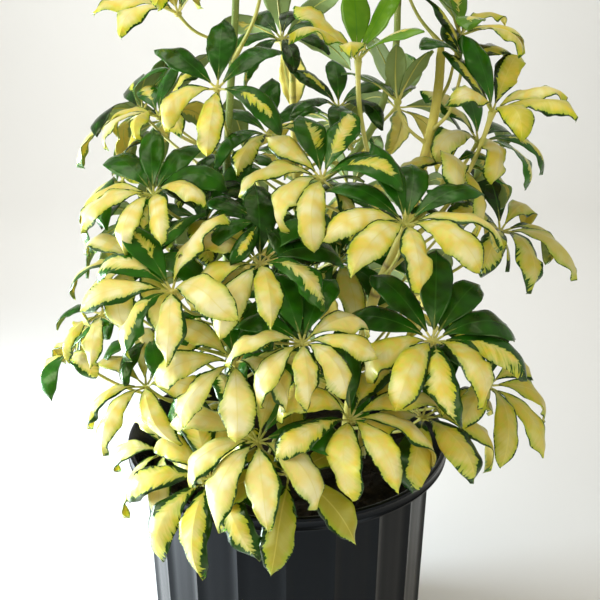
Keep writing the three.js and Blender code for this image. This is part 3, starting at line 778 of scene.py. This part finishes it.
def makeLeaflet(line, uppers, halves, draw, look, inner):
    bends = leafletBends
    bend = bends["green" if look[0] > 0.5 else "yellow"]
    kind = draw.choices((0, 1, 2), weights=bend["kinds"])[0] + (len(kinds) if inner else 0)
    local = blankPlaces[kind].copy()
    cross = blankCross[kind]
    share = local[:, 1] / leafletShape["length"]
    reach = comesIn(share, *bends["cupIn"])
    local[:, 0] *= halves[3] / leafletShape["halfWidth"] * pick(draw, bend["size"])
    cup = draw.uniform(*bend["cup"])
    fold = draw.uniform(*bend["fold"])
    for hand in (-1, 1):
        lobes = draw.uniform(*bend["lobes"]) * waves(draw, share, bends["lobeCount"])
        lobes += draw.uniform(*bend["dents"]) * waves(draw, share, bends["dentCount"])
        local[:, 0] *= np.where(cross * hand > 0, 1 + lobes * np.abs(cross) * reach, 1)
    local[:, 2] += bends["rise"] - bends["depth"] * cup * np.abs(cross) ** fold * reach
    local[:, 2] += bends["rise"] * (cross ** 2) * (1 - reach) * comesIn(share, *bends["riseIn"])
    for hand in (-1, 1):
        wave = draw.uniform(*bend["wave"])
        ruffle = bends["ruffle"] * wave * waves(draw, share, bends["ruffleCount"])
        wave = wave * waves(draw, share, bends["waveCount"]) + ruffle
        local[:, 2] += np.where(cross * hand > 0, cross ** 2 * wave * reach, 0)
    # The blade swings to one side, and its tip hooks sideways and down
    swing = draw.uniform(*bend["swing"])
    droop = draw.uniform(*bend["droop"])
    hook = pick(draw, bend["hook"])
    hookSide = draw.uniform(-1, 1) * hook

    def hooked(places, at):
        tipShare = comesIn(at, *bends["hookIn"]) ** 2
        swung = bends["swingTimes"] * swing * comesIn(at, *bends["swingIn"]) ** 2
        places[:, 0] += swung + hookSide * tipShare
        places[:, 2] -= hook * tipShare + droop * at ** 2

    hooked(local, share)
    local[:, 1] = share
    twist = math.radians(draw.gauss(0, bend["twist"]))
    blade = newCopy(blanks[kind], layAlong(knotShares, line, uppers, local, twist * share), look)
    # The stalk and the rib under the blade are one rod that thins towards the tip
    shape = rodShape
    rod = ribPlaces.copy()
    along = shape["ribFrom"] + shape["ribReach"] * rod[:, 2]
    thin = np.interp(along, shape["ribShares"], shape["ribRadii"]) * 0.001
    drop = np.interp(along, shape["dropShares"], shape["drops"])
    onBlade = comesIn(along, *shape["underBladeIn"])
    height = rod[:, 1] * thin - drop + onBlade * shape["underBlade"]
    localRod = np.stack([rod[:, 0] * thin, along, height], axis=1)
    hooked(localRod, along)
    rib = newCopy(ribBlank, layAlong(knotShares, line, uppers, localRod, twist * along))
    return [blade, rib]


def buildLeaf(name, hub, facing, leaflets, petiole, draw, inner):
    upHill = Vector((0, 0, 1))
    upHill = (upHill - facing * upHill.dot(facing)).normalized()
    sideHill = upHill.cross(facing)
    leaflets.sort(key=lambda item: math.atan2(
        (Vector(item[0][1]) - hub).dot(upHill), (Vector(item[0][1]) - hub).dot(sideHill)))
    parts = []
    for line, uppers, halves in leaflets:
        outward = (Vector(line[2]) - hub).normalized()
        turn = math.degrees(math.atan2(outward.dot(sideHill), outward.dot(upHill)))
        value = greenness(name, turn, draw)
        # The leaf pattern reads the tone back as the fraction of the seed times toneTurns
        whole, tone = divmod(leafPattern["toneTurns"] * draw.random(), 1)
        ownTone = ownLook("tone", name)
        if ownTone is not None:
            tone = ownTone + leafLook["toneSpread"] * tone
        look = (value, (whole + tone) / leafPattern["toneTurns"], ownLook("age", name, 0.0))
        parts += makeLeaflet(line, uppers, halves, draw, look, inner)
    rod = petiolePlaces.copy()
    knots, _ = measured(petiole)
    along = rod[:, 2]
    thick = np.interp(along, rodShape["petioleShares"], rodShape["petioleRadii"]) * 0.001
    thick *= ownLook("stout", name, 1.0)
    uppers = np.tile(np.array(facing), (len(knots), 1))
    local = np.stack([rod[:, 0] * thick, along, rod[:, 1] * thick], axis=1)
    parts.append(newCopy(petioleBlank, layAlong(knots, petiole, uppers, local)))
    turn = facing.to_track_quat("Z", "Y").to_matrix()
    ball = hubPlaces * np.array(rodShape["hub"])
    parts.append(newCopy(hubBlank, ball @ np.array(turn).T + np.array(hub)))
    leaf = joined(parts)
    leaf.name = name
    leaf.data.name = name
    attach(leaf, "root")
    return leaf


def makeLeaf(name):
    leaf = buildLeaf(name, *readLeaf(nodes[name]), random.Random(name), False)
    leaf.name = "fine_" + name
    leaf.data.name = leaf.name
    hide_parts(name)
    return leaf


leafNames = sorted(name for name in nodes if name.startswith("leaf_"))
leaves = [makeLeaf(name) for name in leafNames]
print("leaves made:", len(leaves), "with", sum(len(leaf.data.polygons) for leaf in leaves), "faces")


# Stems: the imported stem's own line, with a ring scar at each node. Metres, the rest are shares.
stemShape = {
    "sides": 18, "rings": 210, "ridge": 0.09, "scarWide": 0.0016, "firstScar": 0.012, "gap": 0.027,
    "gapRange": (0.75, 1.25), "taperShares": (0, 0.6, 0.97, 1), "taper": (1.04, 0.98, 0.8, 0.45),
    "packedSides": 6,
    "stem_left": barkGreen, "stem_right": barkYellow, "stem_middle": barkGreen, "stem_back": barkYellow,
}
stemLines = {}


def makeStem(name):
    shape = stemShape
    draw = random.Random(name)
    mesh = mergedMesh(nodes[name])
    places = sorted((vert.co.copy() for vert in mesh.verts), key=lambda spot: spot.z)
    mesh.free()
    sides = shape["packedSides"]
    rings = [places[i:i + sides] for i in range(0, len(places), sides)]
    middles = np.array([sum(ring, Vector()) / sides for ring in rings])
    radius = max((Vector(middles[3]) - place).length for place in rings[3])
    knots, length = measured(middles)
    blank = rodBlank("fine_" + name, shape["sides"], shape["rings"], shape[name])
    rod = coordinates(blank.data)
    along = rod[:, 2]
    scars = []
    spot = shape["firstScar"]
    while spot < length:
        scars.append(spot)
        spot += shape["gap"] * draw.uniform(*shape["gapRange"])
    away = np.min(np.abs(along[:, None] * length - np.array(scars)[None, :]), axis=1)
    scar = np.exp(-(away / shape["scarWide"]) ** 2)
    taper = np.interp(along, shape["taperShares"], shape["taper"])
    wide = radius * taper * (1 + shape["ridge"] * scar)
    local = np.stack([rod[:, 0] * wide, along, rod[:, 1] * wide], axis=1)
    uppers = np.tile(np.array([0.0, -1.0, 0.0]), (len(knots), 1))
    setCoordinates(blank.data, layAlong(knots, middles, uppers, local))
    setAttribute(blank.data, "scar", "FLOAT", scar)
    stemLines[name] = middles
    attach(blank, "root")
    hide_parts(name)
    return blank


stems = [makeStem(name) for name in ("stem_left", "stem_right", "stem_middle", "stem_back")]
print("stems made")

# Inner leaves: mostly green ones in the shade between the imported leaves, each on its own petiole
# from a stem. Heights, reaches and lengths are in metres, directions in degrees.
innerShape = {
    "stem_left": {"count": 4, "low": 0.29, "high": 0.42, "middle": 30, "spread": 300, "reach": 0.07},
    "stem_right": {"count": 6, "low": 0.27, "high": 0.43, "middle": 205, "spread": 240, "reach": 0.07},
    "stem_middle": {"count": 7, "low": 0.28, "high": 0.43, "middle": 0, "spread": 360, "reach": 0.08},
    "stem_back": {"count": 4, "low": 0.34, "high": 0.54, "middle": 0, "spread": 360, "reach": 0.035},
    "golden": 0.618, "heightSpread": 0.3, "reachSpread": 0.02, "climb": (0.02, 0.045), "tilt": (45, 70),
    "leaflets": 7, "turnSpread": 0.12, "length": (0.046, 0.058), "halfWidth": 0.0105, "lift": 24,
    "curl": 78, "curlGrowth": 1.6, "petiolePoints": 6, "petioleBend": 0.7,
    "greenHalf": (180, 180, 180, 110),
}


# A leaflet's line: it leaves the hub a little above the leaf's plane and bends down towards its tip
def innerLeaflet(hub, facing, outward, length):
    slopes = np.radians(innerShape["lift"] - innerShape["curl"] * knotShares ** innerShape["curlGrowth"])
    steps = np.diff(knotShares) * length
    middle = (slopes[1:] + slopes[:-1]) / 2
    moves = steps[:, None] * (np.cos(middle)[:, None] * outward + np.sin(middle)[:, None] * facing)
    line = np.concatenate([[hub], hub + np.cumsum(moves, axis=0)])
    uppers = np.cos(slopes)[:, None] * facing - np.sin(slopes)[:, None] * outward
    halves = np.full(len(knotShares), innerShape["halfWidth"] * length / leafletShape["length"])
    return [line, uppers, halves]


def makeInnerLeaf(name, stem, height, turn, reach, draw):
    shape = innerShape
    line = stemLines[stem]
    foot = np.array([np.interp(height, line[:, 2], line[:, i]) for i in range(3)])
    outward = np.array([math.sin(turn), -math.cos(turn), 0])
    climb = draw.uniform(*shape["climb"])
    hub = foot + outward * reach + np.array([0, 0, climb])
    tilt = math.radians(draw.uniform(*shape["tilt"]))
    facing = outward * math.cos(tilt) + np.array([0, 0, math.sin(tilt)])
    share = np.linspace(0, 1, shape["petiolePoints"])[:, None]
    petiole = foot + outward * reach * share + np.array([0, 0, climb]) * share ** shape["petioleBend"]
    across = unit(np.cross(facing, outward))
    ahead = np.cross(across, facing)
    leaflets = []
    start = draw.uniform(0, 2 * math.pi)
    for i in range(shape["leaflets"]):
        stray = draw.uniform(-shape["turnSpread"], shape["turnSpread"])
        angle = start + 2 * math.pi * (i + stray) / shape["leaflets"]
        spoke = ahead * math.cos(angle) + across * math.sin(angle)
        leaflets.append(innerLeaflet(hub, facing, spoke, draw.uniform(*shape["length"])))
    leafLook["greenSide"][name] = (0, draw.choice(shape["greenHalf"]))
    return buildLeaf(name, Vector(hub), Vector(facing), leaflets, petiole, draw, True)


def makeInnerLeaves(stem):
    draw = random.Random("inner" + stem)
    rule = innerShape[stem]
    made = []
    for i in range(rule["count"]):
        share = i + draw.uniform(-innerShape["heightSpread"], innerShape["heightSpread"])
        height = rule["low"] + (rule["high"] - rule["low"]) * share / (rule["count"] - 1)
        turn = math.radians(rule["middle"] + rule["spread"] * (innerShape["golden"] * (i + 1) % 1 - 0.5))
        reach = rule["reach"] + innerShape["reachSpread"] * draw.uniform(-1, 1)
        made.append(makeInnerLeaf(f"inner_{stem}_{i + 1}", stem, height, turn, reach, draw))
    return made


innerLeaves = [leaf for stem in stemLines for leaf in makeInnerLeaves(stem)]
print("inner leaves made:", len(innerLeaves))

# Soil: heaped potting mix with crumbs and bark chips on it
soilShape = {
    "level": 0.212, "mound": 0.005, "radius": 0.1195, "footRadius": 0.1143, "sides": 96, "rings": 22,
    "ringWide": 0.0052, "lumps": ((45, 0.0016), (110, 0.0012), (260, 0.0007)),
    "crumbs": 420, "crumbReach": 0.97, "crumbSize": (0.0012, 0.0034), "crumbLong": (0.8, 2.2),
    "crumbFlat": (0.4, 0.9), "crumbKnock": 0.25, "crumbTip": 0.5, "seed": 5,
}


def lumpAt(x, y):
    total = 0.0
    for scale, height in soilShape["lumps"]:
        total += height * (math.sin(scale * x + 1.7 * math.sin(scale * 0.7 * y + 0.4))
                           + math.sin(scale * 1.1 * y + 1.3 * math.sin(scale * 0.8 * x + 2.1)))
    return total


def makeCrumb(crumb, ball, draw):
    shape = soilShape
    turn = draw.uniform(0, 2 * math.pi)
    distance = shape["radius"] * shape["crumbReach"] * math.sqrt(draw.random())
    spot = np.array([distance * math.cos(turn), distance * math.sin(turn), 0])
    heap = 1 - (distance / shape["radius"]) ** 2
    spot[2] = shape["level"] + shape["mound"] * heap + lumpAt(spot[0], spot[1]) * min(heap * 6, 1)
    size = draw.uniform(*shape["crumbSize"])
    sizes = np.array([size * draw.uniform(*shape["crumbLong"]), size,
                      size * draw.uniform(*shape["crumbFlat"])])
    knock, tip = shape["crumbKnock"], shape["crumbTip"]
    knocks = np.array([[1 + draw.uniform(-knock, knock) for _ in range(3)] for _ in ball])
    spin = Matrix.Rotation(draw.uniform(0, 6.28), 3, "Z") @ Matrix.Rotation(draw.uniform(-tip, tip), 3, "X")
    return newCopy(crumb, (ball * knocks * sizes) @ np.array(spin).T + spot)


def makeSoil():
    shape = soilShape
    draw = random.Random(shape["seed"])
    level, radius = shape["level"], shape["radius"]
    low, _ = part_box("soil")
    selectNothing()
    bpy.ops.mesh.primitive_cylinder_add(vertices=shape["sides"], radius=radius, depth=level - low.z,
                                        location=(0, 0, (level + low.z) / 2))
    soil = named("fine_soil", pottingMix)
    bpy.ops.object.transform_apply(location=True, rotation=True, scale=True)
    bpy.ops.object.mode_set(mode="EDIT")
    pickVerts(soil, lambda co: co.z < low.z + 0.001)
    factor = shape["footRadius"] / radius
    bpy.ops.transform.resize(value=(factor, factor, 1), center_override=(0, 0, low.z))
    pickVerts(soil, lambda co: co.z > level - 0.001)
    bpy.ops.mesh.select_mode(type="FACE")
    for _ in range(shape["rings"]):
        bpy.ops.mesh.inset(thickness=shape["ringWide"])
    bpy.ops.mesh.merge(type="CENTER")
    bpy.ops.object.mode_set(mode="OBJECT")
    places = coordinates(soil.data)
    top = places[:, 2] > level - 0.001
    heap = 1 - (np.linalg.norm(places[:, :2], axis=1) / radius) ** 2
    lumps = np.array([lumpAt(place[0], place[1]) for place in places])
    places[:, 2] += np.where(top, shape["mound"] * heap + lumps * np.clip(heap * 6, 0.15, 1), 0)
    setCoordinates(soil.data, places)
    selectNothing()
    bpy.ops.mesh.primitive_ico_sphere_add(subdivisions=1, radius=1)
    crumb = named("crumb", pottingMix)
    ball = coordinates(crumb.data)
    crumbs = [makeCrumb(crumb, ball, draw) for _ in range(shape["crumbs"])]
    bpy.data.objects.remove(crumb)
    soil = joined([soil, *crumbs])
    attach(soil, "root")
    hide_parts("soil")
    return soil


soilPiece = makeSoil()
print("soil made:", len(soilPiece.data.polygons), "faces")

# Pot: fluted wall, step and lip, drain holes in the floor. Widths are outer radii in metres.
potShape = {
    "height": 0.240, "lipRadius": 0.140, "lipHeight": 0.012, "stepRadius": 0.131, "topRadius": 0.127,
    "baseRadius": 0.121, "stepDrop": 0.007, "wall": 0.0024, "heel": 0.0035, "wallLevels": 14,
    "flutes": 20, "perFlute": 12, "fluteDepth": 0.0031, "crest": 0.8, "crestWide": 0.17, "slope": 0.2,
    "underRadius": 0.112, "floor": 0.004, "floorRadius": 0.095,
    "drainHoles": 6, "drainRadius": 0.006, "drainRing": 0.078,
}


def makePot():
    shape = potShape
    lip, step, top, base = (shape[key] for key in ("lipRadius", "stepRadius", "topRadius", "baseRadius"))
    height, floor, heel = shape["height"], shape["floor"], shape["heel"]
    count = shape["flutes"] * shape["perFlute"]
    lipFoot = height - shape["lipHeight"]
    wallTop = lipFoot - shape["stepDrop"]
    bore = shape["fluteDepth"] + shape["wall"]
    # Outline from the underside out, up and over the lip to the floor: radius, height, fluted
    outline = [(shape["underRadius"], 0.0, 0), (base - 0.003, 0.0, 1), (base - 0.0006, 0.0012, 1),
               (base, heel, 1)]
    for i in range(1, shape["wallLevels"] + 1):
        part = i / shape["wallLevels"]
        outline.append((base + (top - base) * part, heel + (wallTop - heel - 0.001) * part, 1))
    outline += [
        (step - 0.0016, wallTop + 0.0004, 0.35), (step - 0.0003, wallTop + 0.0014, 0),
        (step, wallTop + 0.0028, 0), (step + 0.0002, lipFoot - 0.0008, 0), (step + 0.001, lipFoot, 0),
        (lip - 0.0012, lipFoot, 0), (lip - 0.0003, lipFoot + 0.0004, 0), (lip, lipFoot + 0.0014, 0),
        (lip - 0.0009, lipFoot + 0.0026, 0), (lip - 0.001, lipFoot + 0.008, 0), (lip, lipFoot + 0.0094, 0),
        (lip - 0.0003, height - 0.0007, 0), (lip - 0.0015, height, 0), (lip - 0.003, height, 0),
        (lip - 0.0042, height - 0.0008, 0), (top + 0.004, lipFoot + 0.001, 0),
        (top - bore + 0.0015, wallTop + 0.001, 0), (top - bore, wallTop - 0.003, 0),
        (base - bore, floor + 0.003, 0), (base - bore - 0.003, floor, 0), (shape["floorRadius"], floor, 0),
    ]
    selectNothing()
    bpy.ops.mesh.primitive_circle_add(vertices=count, radius=outline[0][0], location=(0, 0, 0))
    pot = named("fine_pot", blackPlastic)
    bpy.ops.object.mode_set(mode="EDIT")
    bpy.ops.mesh.select_all(action="SELECT")
    for (radius, z, _), (newRadius, newZ, _) in zip(outline, outline[1:]):
        bpy.ops.mesh.extrude_edges_move(TRANSFORM_OT_translate={"value": (0, 0, newZ - z)})
        factor = newRadius / radius
        bpy.ops.transform.resize(value=(factor, factor, 1), center_override=(0, 0, newZ))
    bpy.ops.object.mode_set(mode="OBJECT")
    # Flutes: broad shallow hollows between rounded ridges
    places = coordinates(pot.data)
    fluted = np.array([row[2] for row in outline])[np.arange(len(places)) // count]
    turn = np.arctan2(places[:, 1], places[:, 0])
    phase = np.abs(((turn / (2 * math.pi) * shape["flutes"]) + 0.5) % 1.0 - 0.5) * 2
    crest = shape["crest"] * np.exp(-(phase / shape["crestWide"]) ** 2)
    hollow = 1 - crest - shape["slope"] * (1 - phase)
    push = fluted * hollow * shape["fluteDepth"]
    places[:, :2] *= (1 - push / np.linalg.norm(places[:, :2], axis=1))[:, None]
    setCoordinates(pot.data, places)
    closeFloors(pot)
    bpy.ops.object.shade_smooth_by_angle(angle=math.radians(38))
    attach(pot, "root")
    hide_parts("pot")
    return pot


# Closes the underside and the floor, and cuts the drain holes through both
def closeFloors(pot):
    onlySelected(pot)
    bpy.ops.object.mode_set(mode="EDIT")
    pickEdges(pot, lambda edge: edge.is_boundary)
    bpy.ops.mesh.edge_face_add()
    bpy.ops.mesh.select_all(action="SELECT")
    bpy.ops.mesh.normals_make_consistent(inside=False)
    bpy.ops.object.mode_set(mode="OBJECT")
    cutters = []
    for i in range(potShape["drainHoles"]):
        turn = 2 * math.pi * (i + 0.5) / potShape["drainHoles"]
        place = (potShape["drainRing"] * math.cos(turn), potShape["drainRing"] * math.sin(turn), 0.002)
        selectNothing()
        bpy.ops.mesh.primitive_cylinder_add(vertices=32, radius=potShape["drainRadius"], depth=0.02,
                                            location=place)
        cutters.append(named("drainCutter", blackPlastic))
    cutter = joined(cutters)
    onlySelected(pot)
    cut = pot.modifiers.new("drains", "BOOLEAN")
    cut.operation = "DIFFERENCE"
    cut.object = cutter
    cut.solver = "EXACT"
    applyModifiers(pot)
    bpy.data.objects.remove(cutter)
    onlySelected(pot)


potPiece = makePot()
print("pot made:", len(potPiece.data.polygons), "faces")

for blank in (*blanks, ribBlank, petioleBlank, hubBlank):
    bpy.data.objects.remove(blank)

# Stage: a pale floor that rises into a backdrop far behind
stageShape = {"back": 1.6, "side": 2.6, "front": 1.9, "rise": 2.2, "sweep": 0.7, "steps": 14}
stageFinish = {"Base Color": (0.82, 0.795, 0.755, 1), "Roughness": 0.7}


def pullUp(y, z):
    bpy.ops.mesh.extrude_edges_move(TRANSFORM_OT_translate={"value": (0, y, z)})


selectNothing()
bpy.ops.mesh.primitive_plane_add(size=1, location=(0, 0, 0))
floor = named("floor", newMaterial("paleStage", stageFinish)[0])
bpy.ops.object.mode_set(mode="EDIT")
bpy.ops.transform.resize(value=(2 * stageShape["side"], stageShape["front"] + stageShape["back"], 1))
bpy.ops.transform.translate(value=(0, (stageShape["back"] - stageShape["front"]) / 2, 0))
pickVerts(floor, lambda co: co.y > stageShape["back"] - 0.01)
before = (0.0, 0.0)
for i in range(1, stageShape["steps"] + 1):
    turn = math.pi / 2 * i / stageShape["steps"]
    step = (stageShape["sweep"] * math.sin(turn), stageShape["sweep"] * (1 - math.cos(turn)))
    pullUp(step[0] - before[0], step[1] - before[1])
    before = step
pullUp(0, stageShape["rise"])
bpy.ops.object.mode_set(mode="OBJECT")
bpy.ops.object.shade_smooth()

lights = {
    "key": {"place": (-1.15, -0.62, 1.08), "aim": (0, 0, 0.38), "size": 0.9, "power": 12.3,
            "colour": (0.99, 0.99, 1.0)},
    "side": {"place": (-0.75, 0.1, 0.24), "aim": (-0.2, 0.02, 0), "size": 0.3, "power": 19,
             "colour": (0.74, 0.87, 1.0)},
    "fill": {"place": (0.75, -1.0, 0.6), "aim": (0, 0, 0.35), "size": 0.8, "power": 4,
             "colour": (1.0, 0.99, 0.93)},
    "top": {"place": (-0.3, 0.1, 1.9), "aim": (0, 0, 0.4), "size": 1.3, "power": 12,
            "colour": (0.97, 0.98, 1.0)},
    "back": {"place": (-0.35, 1.1, 1.25), "aim": (0, 2.4, 0.7), "size": 1.0, "power": 12.5,
             "colour": (0.89, 0.95, 1.0)},
}
for name, light in lights.items():
    selectNothing()
    aim = (Vector(light["aim"]) - Vector(light["place"])).to_track_quat("-Z", "Y").to_euler()
    bpy.ops.object.light_add(type="AREA", location=light["place"], rotation=aim)
    lamp = bpy.context.object
    lamp.name = name
    lamp.data.size = light["size"]
    lamp.data.energy = light["power"]
    lamp.data.color = light["colour"]
surroundings = {"Color": (1.0, 0.985, 0.88, 1), "Strength": 0.4}
world = bpy.data.worlds.new("studio")
world.use_nodes = True
for name, value in surroundings.items():
    world.node_tree.nodes["Background"].inputs[name].default_value = value
bpy.context.scene.world = world
print("stage and lights made")
pieces = [*leaves, *innerLeaves, *stems, soilPiece, potPiece]
print("triangles:", sum(len(polygon.vertices) - 2 for piece in pieces for polygon in piece.data.polygons))
